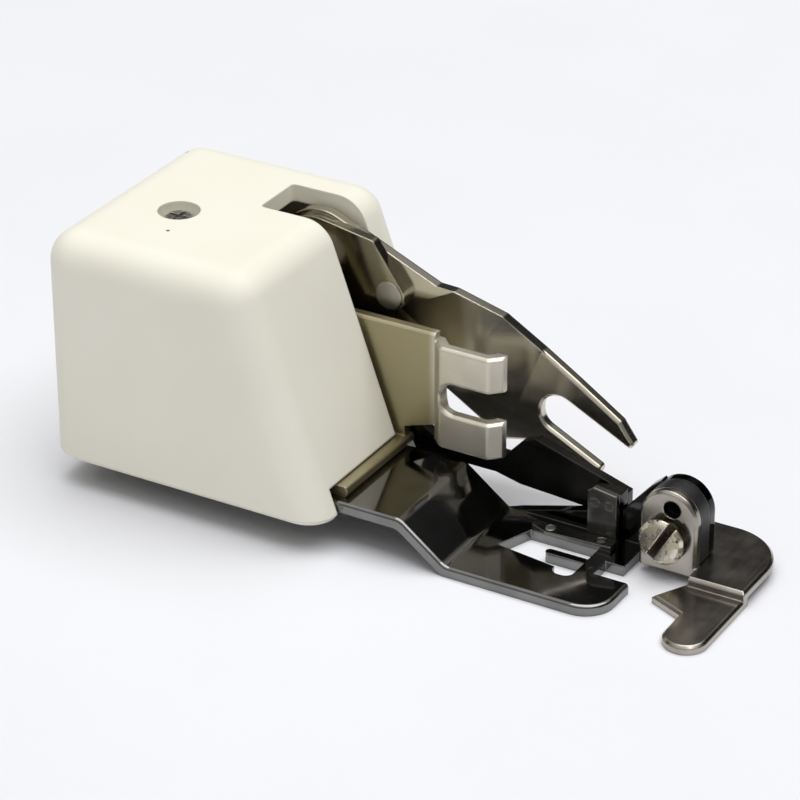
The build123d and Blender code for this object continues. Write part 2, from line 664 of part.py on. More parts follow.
def fork_outline():
    """Front part of the lever: two prongs, the upper one longer and pointed."""
    half = FORK_GAP / 2
    high = half + UPPER_PRONG_HEIGHT
    low = half + LOWER_PRONG_HEIGHT
    outline = polygon(
        CREASE_FRONT_TOP,
        fork_place(0, high),
        fork_place(UPPER_SHOULDER_LENGTH, half + UPPER_SHOULDER_HEIGHT),
        fork_place(UPPER_PRONG_LENGTH, half + PRONG_TIP_HEIGHT),
        fork_place(UPPER_PRONG_LENGTH - PRONG_TIP_SLANT, half),
        fork_place(0, half),
        fork_place(0, -half),
        fork_place(LOWER_PRONG_LENGTH - PRONG_TIP_SLANT, -half),
        fork_place(LOWER_PRONG_LENGTH, -half - PRONG_TIP_HEIGHT),
        fork_place(LOWER_SHOULDER_LENGTH, -low),
        fork_place(0, -low),
        APRON_FRONT,
        CREASE_FRONT_FOOT,
    )
    upper_tip = outline.vertices().sort_by(Axis.X)[:2]
    outline = fillet(upper_tip, PRONG_ROUND)
    lower_end = fork_place(LOWER_PRONG_LENGTH, -half - PRONG_TIP_HEIGHT / 2)
    lower_tip = outline.vertices().sort_by_distance(Vector(*lower_end))[:2]
    return fillet(lower_tip, PRONG_ROUND) - disc(FORK_ROOT, half)


def fork_lever():
    """Needle-bar lever: hub plate, twisted joggle past the presser bar, and the fork."""
    hub = disc((LEVER_Y, LEVER_Z), LEVER_HUB)
    lean = (CREASE_BACK_TOP[1] - LEVER_Z) / (LEVER_Y - CREASE_BACK_TOP[0])
    tangent = radians(LEVER_TANGENT)
    arm = polygon(
        LEVER_DIP,
        CREASE_BACK_TOP,
        CREASE_BACK_FOOT,
        APRON_BACK,
        (LEVER_Y - lean * LEVER_HUB, LEVER_Z - LEVER_HUB),
        (LEVER_Y, LEVER_Z),
        (LEVER_Y - LEVER_HUB * sin(tangent), LEVER_Z + LEVER_HUB * cos(tangent)),
    )
    back = plate(hub + arm, LEVER_NEAR, LEVER_SHEET)
    front = plate(fork_outline(), FORK_NEAR, LEVER_SHEET)
    back_crease = crease_face(CREASE_BACK_TOP, CREASE_BACK_FOOT, LEVER_NEAR)
    front_crease = crease_face(CREASE_FRONT_TOP, CREASE_FRONT_FOOT, FORK_NEAR)
    swell_foot = between(CREASE_BACK_FOOT, CREASE_FRONT_FOOT, SWELL_REACH)
    swell = crease_face(SWELL_TOP, swell_foot, LEVER_NEAR + SWELL_REACH * (FORK_NEAR - LEVER_NEAR))
    joggle = loft([back_crease, swell, front_crease], ruled=True)
    apron_back = crease_face(CREASE_BACK_FOOT, APRON_BACK, LEVER_NEAR)
    apron_front = crease_face(CREASE_FRONT_FOOT, APRON_FRONT, FORK_NEAR)
    apron = loft([apron_back, apron_front], ruled=True)
    body = back + front + joggle + apron
    creases = [
        between(CREASE_FRONT_TOP, CREASE_FRONT_FOOT, 0.5),
        between(CREASE_FRONT_FOOT, APRON_FRONT, 0.5),
    ]
    rim = [e for e in edges_at(body, "X", FORK_NEAR) if not on_crease(e, creases)]
    body = chamfer(rim, FORK_BEVEL)
    body -= rod((LEVER_Y, LEVER_Z), LEVER_NEAR - OVERCUT, LEVER_FAR + OVERCUT, LEVER_PIN_RADIUS + RUN_GAP)
    return body - rod(CRANK_RIVET, LEVER_NEAR - OVERCUT, LEVER_FAR + OVERCUT, CRANK_RIVET_RADIUS)


def on_crease(edge, middles):
    """Whether an edge of the fork is one of the bends into the joggle, from their middles."""
    middle = edge.center()
    return any(abs(middle.Y - y) + abs(middle.Z - z) < TOUCH for y, z in middles)


def crease_face(top, foot, near):
    """Section of the lever's sheet along one of its crease lines."""
    far = near + LEVER_SHEET
    corners = [(near, *top), (far, *top), (far, *foot), (near, *foot)]
    return make_face(Polyline(*corners, close=True))


def crank_plate():
    """Plate riveted to the lever: hub, rounded rivet end and the tail that holds the drive pin."""
    hub = disc((LEVER_Y, LEVER_Z), CRANK_HUB)
    nose = hull(hub, disc(CRANK_CORNER, CRANK_CORNER_ROUND), disc(CRANK_RIVET, CRANK_END_RADIUS))
    tail = hull(hub, disc(DRIVE_PIN, DRIVE_END_RADIUS))
    body = plate(nose + tail, CRANK_NEAR, SHEET)
    body -= rod((LEVER_Y, LEVER_Z), CRANK_NEAR - OVERCUT, LEVER_NEAR + OVERCUT, LEVER_PIN_RADIUS + RUN_GAP)
    body -= rod(CRANK_RIVET, CRANK_NEAR - OVERCUT, LEVER_NEAR + OVERCUT, CRANK_RIVET_RADIUS)
    return body - rod(DRIVE_PIN, CRANK_NEAR - OVERCUT, LEVER_NEAR + OVERCUT, DRIVE_PIN_RADIUS)


def crank_rivet():
    """Rivet that joins crank plate and fork lever, headed on both sides."""
    shank = rod(CRANK_RIVET, CRANK_NEAR, LEVER_FAR, CRANK_RIVET_RADIUS)
    near_head = rod(CRANK_RIVET, CRANK_NEAR - LANE_GAP / 2, CRANK_NEAR, CRANK_RIVET_HEAD)
    far_head = rod(CRANK_RIVET, LEVER_FAR, LEVER_FAR + RIVET_HEAD_HEIGHT, CRANK_RIVET_HEAD)
    return shank + near_head + far_head


def drive_pin():
    """Pin pressed into the crank plate that runs in the knife lever's cam slot."""
    return rod(DRIVE_PIN, KNIFE_NEAR - LANE_GAP / 2, LEVER_NEAR - RUN_GAP, DRIVE_PIN_RADIUS)


def cam_slot():
    """Curved slot that the drive pin follows while lever and knife swing together."""
    path = []
    for share in (0.0, 0.5, 1.0):
        raised = swung(DRIVE_PIN, (LEVER_Y, LEVER_Z), share * LEVER_SWING)
        path.append(swung(raised, (KNIFE_Y, KNIFE_Z), -share * KNIFE_SWING))
    return SlotArc(ThreePointArc(*path), 2 * (DRIVE_PIN_RADIUS + CAM_GAP))


def knife_lever():
    """Lever that carries the moving knife: hub, cam horn, low neck under the hooks, front web."""
    body = polygon(
        (KNIFE_Y, KNIFE_Z + KNIFE_HUB),
        (HORN_BACK, HORN_TOP),
        (HORN_FRONT + HORN_CORNER, HORN_TOP),
        (HORN_FRONT, HORN_TOP - HORN_CORNER),
        (HORN_FRONT - HORN_CORNER, KNIFE_BAR_TOP),
        (KNIFE_NECK_BACK, KNIFE_NECK_TOP),
        (KNIFE_NECK_FRONT, KNIFE_NECK_TOP),
        KNIFE_WEB_SHOULDER,
        KNIFE_WEB_PEAK,
        (BLADE_FRONT, KNIFE_TIP_TOP),
        (BLADE_FRONT, KNIFE_TIP_FOOT),
        KNIFE_WEB_FOOT,
        KNIFE_NECK_BEND,
        KNIFE_NECK_FOOT,
        KNIFE_BAR_FOOT,
        (KNIFE_Y, KNIFE_Z - KNIFE_HUB),
    )
    outline = body + disc((KNIFE_Y, KNIFE_Z), KNIFE_HUB)
    outline -= disc((KNIFE_Y, KNIFE_Z), KNIFE_PIN_RADIUS + RUN_GAP)
    outline -= cam_slot()
    for place in blade_rivet_places():
        outline -= disc(place, BLADE_RIVET_RADIUS)
    return plate(outline, KNIFE_NEAR, SHEET)


def blade_rivet_places():
    """Two rivets side by side that hold the moving knife."""
    z = (BLADE_SPACER_BOTTOM + KNIFE_TIP_TOP) / 2
    middle = BLADE_BACK - BLADE_WIDTH / 2
    half = BLADE_RIVET_SPACING / 2
    return [(middle - half, z), (middle + half, z)]


def upper_knife():
    """Moving blade: narrow plate with a slanted head and a raked cutting edge at its foot."""
    outline = polygon(
        (BLADE_BACK, BLADE_FOOT + BLADE_RAKE),
        (BLADE_BACK, BLADE_TOP - BLADE_HEAD_DROP),
        (BLADE_BACK - BLADE_HEAD_CORNER, BLADE_TOP),
        (BLADE_FRONT, BLADE_TOP - BLADE_HEAD_DROP),
        (BLADE_FRONT, BLADE_FOOT),
    )
    body = plate(outline, BLADE_NEAR, BLADE_THICK)
    for place in blade_rivet_places():
        body -= rod(place, BLADE_NEAR - OVERCUT, BLADE_FAR + OVERCUT, BLADE_RIVET_RADIUS)
    return body


def blade_spacer():
    """Distance block that carries the moving knife over the sole's flange."""
    top = BLADE_TOP - BLADE_HEAD_CORNER
    body = box(BLADE_FAR, KNIFE_NEAR, BLADE_FRONT, BLADE_BACK, BLADE_SPACER_BOTTOM, top)
    for place in blade_rivet_places():
        body -= rod(place, BLADE_FAR - OVERCUT, KNIFE_NEAR + OVERCUT, BLADE_RIVET_RADIUS)
    return body


def blade_rivets():
    """Flush rivets through blade, spacer and knife lever."""
    places = blade_rivet_places()
    return Part() + [rod(place, BLADE_NEAR, KNIFE_FAR, BLADE_RIVET_RADIUS) for place in places]


def lower_knife_rivet_places():
    """Where the fixed knife is riveted to the sole."""
    x = LOWER_KNIFE_FAR - LOWER_KNIFE_WIDTH / 2
    return [(x, LOWER_KNIFE_BACK - LOWER_RIVET_FROM_BACK), (x, LOWER_KNIFE_FRONT + LOWER_RIVET_FROM_FRONT)]


def lower_knife():
    """Fixed knife on the sole: bar with a pointed back end and a top that rises to the front."""
    near = LOWER_KNIFE_FAR - LOWER_KNIFE_WIDTH
    outline = polygon(
        (LOWER_KNIFE_BACK, SHEET),
        (LOWER_KNIFE_BACK, SHEET + LOWER_KNIFE_BEVEL / 2),
        (LOWER_KNIFE_BACK - LOWER_KNIFE_SLOPE, SHEET + LOWER_KNIFE_HEIGHT / 2),
        (LOWER_KNIFE_FRONT, SHEET + LOWER_KNIFE_HEIGHT),
        (LOWER_KNIFE_FRONT, SHEET),
    )
    body = plate(outline, near, LOWER_KNIFE_WIDTH)
    point = polygon(
        (near, LOWER_KNIFE_BACK - LOWER_KNIFE_WIDTH),
        (near, LOWER_KNIFE_BACK + OVERCUT),
        (LOWER_KNIFE_FAR - LOWER_KNIFE_BEVEL, LOWER_KNIFE_BACK + OVERCUT),
    )
    body -= slab(point, 0, 2 * (SHEET + LOWER_KNIFE_HEIGHT))
    for x, y in lower_knife_rivet_places():
        body -= column(x, y, 0, SHEET + 2 * LOWER_KNIFE_HEIGHT, LOWER_KNIFE_RIVET_RADIUS + RUN_GAP)
    return body


def lower_knife_rivets():
    """Two flush rivets that hold the fixed knife on the sole."""
    top = SHEET + LOWER_KNIFE_HEIGHT / 2
    places = lower_knife_rivet_places()
    return Part() + [column(x, y, 0, top, LOWER_KNIFE_RIVET_RADIUS) for x, y in places]


def lug_outline():
    """Round-topped outline shared by the guide's upright and its distance block."""
    upright = polygon(
        (LUG_BACK, LUG_CENTRE_Z),
        (LUG_BACK, LUG_FOOT),
        (LUG_FRONT, LUG_FOOT),
        (LUG_FRONT, LUG_CENTRE_Z),
    )
    screw_hole = disc((GUIDE_SCREW_Y, GUIDE_SCREW_Z), GUIDE_SCREW_RADIUS + RUN_GAP)
    sight_hole = disc((GUIDE_HOLE_Y, GUIDE_HOLE_Z), GUIDE_HOLE_RADIUS)
    return upright + disc((LUG_Y, LUG_CENTRE_Z), LUG_RADIUS) - screw_hole - sight_hole


def guide_holder():
    """Dark distance block between the guide's upright and the sole's flange."""
    return plate(lug_outline(), SPACER_NEAR, FLANGE_NEAR - SPACER_NEAR)


def guide_plate():
    """Front seam guide: upright, raised plate with a rounded corner, step and low tongue."""
    upright = plate(lug_outline(), GUIDE_NEAR, GUIDE_SHEET)
    foot = box(GUIDE_NEAR, SPACER_NEAR, LUG_FRONT, LUG_BACK, GUIDE_LEDGE, LUG_FOOT)
    raised = polygon(
        (GUIDE_NEAR, GUIDE_PLATE_BACK),
        (GUIDE_FAR, GUIDE_PLATE_BACK),
        (GUIDE_FAR, GUIDE_FRONT),
        (GUIDE_STEP_NEAR, GUIDE_FRONT),
        (GUIDE_STEP_NEAR, LUG_FRONT),
        (GUIDE_NEAR, LUG_FRONT),
    )
    far_corner = raised.vertices().sort_by(Axis.X)[-2:].sort_by(Axis.Y)[0]
    raised = slab(fillet(far_corner, GUIDE_CORNER), GUIDE_LEDGE, GUIDE_SHEET)
    step_far = GUIDE_STEP_NEAR + GUIDE_SHEET
    step = box(GUIDE_STEP_NEAR, step_far, GUIDE_FRONT, LUG_FRONT, 0, GUIDE_PLATE_TOP)
    tip = TONGUE_NEAR + TONGUE_WIDTH / 2
    tongue_back = GUIDE_FRONT + TONGUE_WIDTH
    tongue = polygon(
        (step_far, GUIDE_FRONT),
        (tip, GUIDE_FRONT),
        (tip, tongue_back),
        (tip + TONGUE_EDGE, tongue_back),
        (tip + TONGUE_EDGE + TONGUE_FLARE_WIDTH, tongue_back + TONGUE_FLARE_LENGTH),
        (step_far, LUG_FRONT),
    )
    tongue = slab(tongue + disc((tip, GUIDE_FRONT + TONGUE_WIDTH / 2), TONGUE_WIDTH / 2), 0, GUIDE_SHEET)
    low = [e for e in edges_at(tongue, "Z", GUIDE_SHEET) if e.center().X < GUIDE_STEP_NEAR - TOUCH]
    tongue = chamfer(low, GUIDE_BEVEL)
    body = upright + foot + raised + step + tongue
    ledge = [e for e in edges_at(body, "Z", GUIDE_PLATE_TOP) if not by_upright(e)]
    body = chamfer(ledge, GUIDE_BEVEL)
    rim = [e for e in edges_at(body, "X", GUIDE_NEAR) if e.center().Z > LUG_FOOT and on_rim(e)]
    return chamfer(rim, GUIDE_BEVEL)


def on_rim(edge):
    """Whether an edge of the upright belongs to its outline, not to one of its holes."""
    return edge.geom_type == GeomType.LINE or edge.radius > LUG_RADIUS - TOUCH


def by_upright(edge):
    """Whether an edge of the raised plate runs along the foot of the upright."""
    middle = edge.center()
    return abs(middle.Y - LUG_FRONT) < TOUCH or abs(middle.X - SPACER_NEAR) < TOUCH


def guide_screw():
    """Slotted cheese-head screw that clamps the guide."""
    place = (GUIDE_SCREW_Y, GUIDE_SCREW_Z)
    head_near = GUIDE_NEAR - GUIDE_HEAD_HEIGHT
    head = rod(place, head_near, GUIDE_NEAR, GUIDE_SCREW_HEAD)
    head = chamfer(head.edges().sort_by(Axis.X)[0], GUIDE_HEAD_BEVEL)
    slot = Box(2 * GUIDE_SLOT_DEPTH, 2 * GUIDE_SCREW_HEAD + OVERCUT, GUIDE_SLOT_WIDTH)
    head -= Pos(head_near, *place) * Rot(X=GUIDE_SLOT_TURN) * slot
    tip = FLANGE_FAR + GUIDE_NUT_HEIGHT + GUIDE_SCREW_END
    return head + rod(place, GUIDE_NEAR, tip, GUIDE_SCREW_RADIUS)


def guide_nut():
    """Hexagon nut on the far side of the flange."""
    place = (GUIDE_SCREW_Y, GUIDE_SCREW_Z)
    outline = Pos(*place) * RegularPolygon(GUIDE_NUT_RADIUS, 6) - disc(place, GUIDE_SCREW_RADIUS + RUN_GAP)
    return plate(outline, FLANGE_FAR, GUIDE_NUT_HEIGHT)


PIECES = (
    housing,
    housing_screw,
    housing_post,
    base_plate,
    shank_bracket,
    bracket_rivets,
    lever_pivot,
    lever_clip,
    lever_bush,
    knife_pivot,
    knife_clip,
    knife_washer,
    fork_lever,
    crank_plate,
    crank_rivet,
    drive_pin,
    knife_lever,
    upper_knife,
    blade_spacer,
    blade_rivets,
    lower_knife,
    lower_knife_rivets,
    guide_plate,
    guide_holder,
    guide_screw,
    guide_nut,
)

os.makedirs("parts", exist_ok=True)
for piece in PIECES:
    node = piece.__name__
    export_step(Pos(-CENTRE_X, -CENTRE_Y, 0) * piece(), f"parts/{node}.step")
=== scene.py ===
import logging
import math
from dataclasses import dataclass
from enum import Enum
from functools import lru_cache
from typing import Optional, Union

import bpy
import numpy as np
from mathutils import Matrix, Vector

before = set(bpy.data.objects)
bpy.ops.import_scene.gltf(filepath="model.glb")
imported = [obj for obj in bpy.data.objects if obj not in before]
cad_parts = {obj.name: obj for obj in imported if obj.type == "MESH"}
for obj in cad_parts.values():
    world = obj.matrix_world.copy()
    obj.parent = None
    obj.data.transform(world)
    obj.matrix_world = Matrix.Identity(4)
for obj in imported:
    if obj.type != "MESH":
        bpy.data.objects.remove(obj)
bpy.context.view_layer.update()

MM = 0.001
IMAGE_SIDE = 800
SENSOR_WIDTH = 36.0
BEVEL_SAMPLES = 6
# Share of a speck's radius that is fully dark.
SPECK_CORE = 0.5
# Scale of a pattern along its polishing lines; across them it is 1.
DRAWN_OUT = 0.06

# Socket numbers of a Mix node that blends colours.
MIX_FIRST = 6
MIX_SECOND = 7
MIX_RESULT = 2

Triple = tuple[float, float, float]
Colour = Triple
Axis = Triple
Place = Triple
Span = tuple[float, float]
Operand = Union["Value", float]

EVEN: Triple = (1.0, 1.0, 1.0)
ACROSS: Axis = (1.0, 0.0, 0.0)
NEARWARDS: Axis = (-1.0, 0.0, 0.0)
BACKWARDS: Axis = (0.0, 1.0, 0.0)
UPWARDS: Axis = (0.0, 0.0, 1.0)

log = logging.getLogger("side_cutter")


class Along(Enum):
    """The direction that polishing lines run in, as the pattern's scale along each axis."""

    X = (DRAWN_OUT, 1.0, 1.0)
    Y = (1.0, DRAWN_OUT, 1.0)
    Z = (1.0, 1.0, DRAWN_OUT)


class Value:
    """A shader socket that takes part in Python expressions; operators add Math nodes."""

    def __init__(self, shader: "Shader", socket: Optional[bpy.types.NodeSocket]) -> None:
        """Keeps the socket and the shader that it belongs to.

        Args:
            shader: the shader whose tree holds the socket.
            socket: the output socket, or None for a node that has none.
        """
        self.shader = shader
        self.socket = socket

    def math(self, operation: str, *others: Operand) -> "Value":
        """A Math node on this value and others.

        Args:
            operation: the Math node's operation.
            others: further operands, sockets or numbers.

        Returns:
            The node's result.
        """
        operands = dict(enumerate((self, *others)))
        return self.shader.node("ShaderNodeMath", {"operation": operation}, operands)

    def __add__(self, other: Operand) -> "Value":
        """This value plus another."""
        return self.math("ADD", other)

    def __radd__(self, other: Operand) -> "Value":
        """A number plus this value."""
        return self.math("ADD", other)

    def __sub__(self, other: Operand) -> "Value":
        """This value less another."""
        return self.math("SUBTRACT", other)

    def __rsub__(self, other: float) -> "Value":
        """A number less this value."""
        return (self * -1.0).math("ADD", other)

    def __mul__(self, other: Operand) -> "Value":
        """This value times another."""
        return self.math("MULTIPLY", other)

    def __rmul__(self, other: Operand) -> "Value":
        """A number times this value."""
        return self.math("MULTIPLY", other)

    def ramp(self, span: Span) -> "Value":
        """A smooth step over a span of this value.

        Args:
            span: where the step starts and where it ends.

        Returns:
            The step, from 0 to 1.
        """
        settings = {"interpolation_type": "SMOOTHSTEP"}
        inputs = {"Value": self, "From Min": span[0], "From Max": span[1]}
        return self.shader.node("ShaderNodeMapRange", settings, inputs)


class Shader:
    """A node tree with one method that makes any node, and the patterns that the finishes share."""

    def __init__(self, tree: bpy.types.NodeTree) -> None:
        """Empties the tree, to be filled by a finish.

        Args:
            tree: the node tree of a material or of the world.
        """
        self.tree = tree
        tree.nodes.clear()

    def node(
        self,
        kind: str,
        settings: Optional[dict] = None,
        inputs: Optional[dict] = None,
        output: Union[int, str] = 0,
    ) -> Value:
        """Makes one node.

        Args:
            kind: the node's type.
            settings: properties that are set before the sockets.
            inputs: socket name or number to a link or a constant.
            output: name or number of the socket that is returned.

        Returns:
            The chosen output as a Value.
        """
        made = self.tree.nodes.new(kind)
        for name, setting in (settings or {}).items():
            setattr(made, name, setting)
        for name, given in (inputs or {}).items():
            if isinstance(given, Value):
                self.tree.links.new(given.socket, made.inputs[name])
            else:
                made.inputs[name].default_value = given
        return Value(self, made.outputs[output] if made.outputs else None)

    def place(self, drawn_out: Triple = EVEN) -> Value:
        """Object coordinates, drawn out along an axis where lines are wanted.

        Args:
            drawn_out: scale along each axis; a small number draws a pattern out.

        Returns:
            The scaled coordinates.
        """
        at = self.node("ShaderNodeTexCoord", output="Object")
        return self.node("ShaderNodeMapping", None, {"Vector": at, "Scale": drawn_out})

    def along(self, coordinates: str, axis: Axis) -> Value:
        """How far texture coordinates reach along an axis.

        Args:
            coordinates: which output of the Texture Coordinate node is read.
            axis: unit direction.

        Returns:
            The reach along it.
        """
        at = self.node("ShaderNodeTexCoord", output=coordinates)
        return self.node("ShaderNodeVectorMath", {"operation": "DOT_PRODUCT"}, {0: at, 1: axis}, "Value")

    def noise(self, size: float, detail: float = 3.0, drawn_out: Triple = EVEN) -> Value:
        """Cloudy pattern.

        Args:
            size: size of its largest clouds, in metres.
            detail: octaves of finer clouds.
            drawn_out: scale along each axis; a small number draws the pattern out.

        Returns:
            The pattern, around one half.
        """
        inputs = {"Vector": self.place(drawn_out), "Scale": 1.0 / size, "Detail": detail}
        return self.node("ShaderNodeTexNoise", None, inputs)

    def specks(self, spacing: float, radius: float) -> Value:
        """Small round spots, one now and then in cells of the given spacing.

        Args:
            spacing: size of a cell, in metres.
            radius: radius of a spot, in metres.

        Returns:
            One inside a spot, else zero.
        """
        inputs = {"Vector": self.place(), "Scale": 1.0 / spacing}
        near = self.node("ShaderNodeTexVoronoi", None, inputs, "Distance")
        return 1.0 - near.ramp((SPECK_CORE * radius / spacing, radius / spacing))

    def mix(self, share: Operand, first: Union[Value, Colour], second: Union[Value, Colour]) -> Value:
        """Blend of two colours.

        Args:
            share: how much of the second colour, from 0 to 1.
            first: colour at share 0.
            second: colour at share 1.

        Returns:
            The blended colour.
        """
        ends = [c if isinstance(c, Value) else (*c, 1.0) for c in (first, second)]
        inputs = {"Factor": share, MIX_FIRST: ends[0], MIX_SECOND: ends[1]}
        return self.node("ShaderNodeMix", {"data_type": "RGBA"}, inputs, MIX_RESULT)

    def bump(self, height: Value, depth: float, edge_round: float) -> Value:
        """Normal of a surface with small relief and rounded edges.

        Args:
            height: relief, from 0 to 1.
            depth: how deep the relief is, in metres.
            edge_round: how far the edges look rounded, in metres.

        Returns:
            The changed normal.
        """
        rounded = self.node("ShaderNodeBevel", {"samples": BEVEL_SAMPLES}, {"Radius": edge_round})
        inputs = {"Height": height, "Distance": depth, "Strength": 1.0, "Normal": rounded}
        return self.node("ShaderNodeBump", None, inputs)

    def surface(self, inputs: dict) -> None:
        """Ends the tree in a Principled shader.

        Args:
            inputs: the shader's socket names to links or constants.
        """
        shaded = self.node("ShaderNodeBsdfPrincipled", None, inputs)
        self.node("ShaderNodeOutputMaterial", None, {"Surface": shaded})


def new_material(name: str) -> tuple[bpy.types.Material, Shader]:
    """Makes an empty node material.

    Args:
        name: the material's name.

    Returns:
        The material and its shader.
    """
    material = bpy.data.materials.new(name)
    material.use_nodes = True
    return material, Shader(material.node_tree)


@dataclass(frozen=True)
class MouldedPlastic:
    """Moulded plastic: faint clouds in the colour, a slight waviness of the skin and a few dark specks."""

    name: str
    colour: Colour
    cloud_colour: Colour
    speck_colour: Colour
    roughness: float
    shine: float
    cloud_size: float = 14 * MM
    cloud_span: Span = (0.35, 0.7)
    cloud_roughness: float = 0.06
    skin_size: float = 0.9 * MM
    skin_detail: float = 2.0
    skin_depth: float = 0.0015 * MM
    edge_round: float = 0.3 * MM
    speck_spacing: float = 11 * MM
    speck_radius: float = 0.28 * MM

    def material(self) -> bpy.types.Material:
        """Colour is clouds between two tones with specks over them; roughness follows the clouds.

        Returns:
            The new material.
        """
        material, shader = new_material(self.name)
        clouds = shader.noise(self.cloud_size).ramp(self.cloud_span)
        specks = shader.specks(self.speck_spacing, self.speck_radius)
        tone = shader.mix(clouds, self.colour, self.cloud_colour)
        skin = shader.noise(self.skin_size, self.skin_detail)
        shader.surface(
            {
                "Base Color": shader.mix(specks, tone, self.speck_colour),
                "Roughness": clouds * self.cloud_roughness + self.roughness,
                "Specular IOR Level": self.shine,
                "Normal": shader.bump(skin, self.skin_depth, self.edge_round),
            }
        )
        return material


@dataclass(frozen=True)
class ToneZone:
    """Stretch of a finish in another tone, fading in over a span of the place along an axis; on the bracket
    web this tone is a painted reflection.
    """

    axis: Axis
    span: Span
    colour: Colour

    def over(self, shader: Shader, tone: Value) -> Value:
        """Lays the zone over a tone.

        Args:
            shader: the finish's shader.
            tone: the finish's own tone.

        Returns:
            The tone outside the zone, and the zone's colour inside it.
        """
        share = shader.along("Object", self.axis).ramp(self.span)
        return shader.mix(share, tone, self.colour)


@dataclass(frozen=True)
class PlatedMetal:
    """Plated or bare steel: clouds of tarnish, polishing lines along one direction, and smudges."""

    name: str
    colour: Colour
    tarnish: Colour
    roughness: float
    smudge: float
    lines: Along
    zone: Optional[ToneZone] = None
    line_size: float = 0.5 * MM
    line_detail: float = 4.0
    line_depth: float = 0.0004 * MM
    line_roughness: float = 0.5
    edge_round: float = 0.22 * MM
    cloud_size: float = 5 * MM
    cloud_span: Span = (0.4, 0.68)
    smudge_size: float = 3 * MM
    smudge_detail: float = 5.0
    smudge_span: Span = (0.3, 0.75)

    def material(self) -> bpy.types.Material:
        """Clouds blend the two tones; lines and smudges vary the roughness, and lines the relief.

        Returns:
            The new material.
        """
        material, shader = new_material(self.name)
        clouds = shader.noise(self.cloud_size).ramp(self.cloud_span)
        lines = shader.noise(self.line_size, self.line_detail, self.lines.value)
        smudges = shader.noise(self.smudge_size, self.smudge_detail).ramp(self.smudge_span)
        tone = shader.mix(clouds, self.colour, self.tarnish)
        # A zone lays another tone over a stretch of the finish; on the bracket web it is a painted
        # reflection of the shaded cream housing.
        if self.zone:
            tone = self.zone.over(shader, tone)
        streaks = lines * (self.line_roughness * self.roughness)
        shader.surface(
            {
                "Base Color": tone,
                "Metallic": 1.0,
                "Roughness": self.roughness + streaks + smudges * self.smudge,
                "Normal": shader.bump(lines, self.line_depth, self.edge_round),
            }
        )
        return material


@dataclass(frozen=True)
class WornPlating:
    """Thin bright plating rubbed through in patches to the metal under it, with fine dents."""

    name: str
    plating: Colour
    bare: Colour
    grime: Colour
    roughness: float
    slot: Optional[ToneZone] = None
    patch_size: float = 1.6 * MM
    patch_detail: float = 4.0
    patch_span: Span = (0.46, 0.58)
    patch_roughness: float = 0.15
    dent_size: float = 0.5 * MM
    dent_depth: float = 0.012 * MM
    grime_span: Span = (0.28, 0.42)
    grime_roughness: float = 0.3
    edge_round: float = 0.25 * MM

    def material(self) -> bpy.types.Material:
        """Patches choose between plating and bare metal; dents give relief and hold grime, and the slot zone
        lays a dark tone over the screw behind its head's outer face.

        Returns:
            The new material.
        """
        material, shader = new_material(self.name)
        patches = shader.noise(self.patch_size, self.patch_detail).ramp(self.patch_span)
        dents = shader.noise(self.dent_size)
        grime = 1.0 - dents.ramp(self.grime_span)
        metal = shader.mix(patches, self.plating, self.bare)
        tone = shader.mix(grime, metal, self.grime)
        if self.slot:
            tone = self.slot.over(shader, tone)
        worn = self.roughness + patches * self.patch_roughness
        shader.surface(
            {
                "Base Color": tone,
                "Metallic": 1.0,
                "Roughness": worn + grime * self.grime_roughness,
                "Normal": shader.bump(dents, self.dent_depth, self.edge_round),
            }
        )
        return material


@dataclass(frozen=True)
class BlackenedSteel:
    """Black satin coating with a faint grain and paler rubs."""

    name: str
    colour: Colour
    rub: Colour
    roughness: float
    rub_size: float = 2.5 * MM
    rub_detail: float = 5.0
    rub_span: Span = (0.55, 0.72)
    grain_size: float = 0.35 * MM
    grain_detail: float = 2.0
    grain_depth: float = 0.004 * MM
    grain_roughness: float = 0.2
    edge_round: float = 0.3 * MM

    def material(self) -> bpy.types.Material:
        """Rubs are patches of a paler tone; the grain gives a low relief.

        Returns:
            The new material.
        """
        material, shader = new_material(self.name)
        rubs = shader.noise(self.rub_size, self.rub_detail).ramp(self.rub_span)
        grain = shader.noise(self.grain_size, self.grain_detail)
        shader.surface(
            {
                "Base Color": shader.mix(rubs, self.colour, self.rub),
                "Roughness": self.roughness + grain * self.grain_roughness,
                "Normal": shader.bump(grain, self.grain_depth, self.edge_round),
            }
        )
        return material


Finish = Union[MouldedPlastic, PlatedMetal, WornPlating, BlackenedSteel]

# Painted reflection: a darker, yellower tone on the bracket web that stands in for the shaded cream housing
# it mirrors.
WEB_PAINTED_REFLECTION = ToneZone(axis=BACKWARDS, span=(0.4 * MM, 1.4 * MM), colour=(0.4, 0.355, 0.23))
# Near black over the far flange and the sole's far strip, from 3.1 mm across on.
FAR_FLANGE = ToneZone(axis=ACROSS, span=(3.1 * MM, 3.4 * MM), colour=(0.02, 0.02, 0.019))
# Dark tone over the guide screw past -0.8 to -0.5 mm across, behind the outer face of its head.
SCREW_SLOT = ToneZone(axis=ACROSS, span=(-0.8 * MM, -0.5 * MM), colour=(0.06, 0.05, 0.036))

CREAM = MouldedPlastic(
    "cream_moulding",
    colour=(0.87, 0.85, 0.735),
    cloud_colour=(0.85, 0.825, 0.705),
    speck_colour=(0.12, 0.11, 0.1),
    roughness=0.44,
    shine=0.28,
)
NICKEL = PlatedMetal(
    "nickel_bracket",
    colour=(0.68, 0.64, 0.55),
    tarnish=(0.61, 0.57, 0.47),
    roughness=0.3,
    smudge=0.04,
    lines=Along.Y,
    # painted reflection on the web
    zone=WEB_PAINTED_REFLECTION,
)
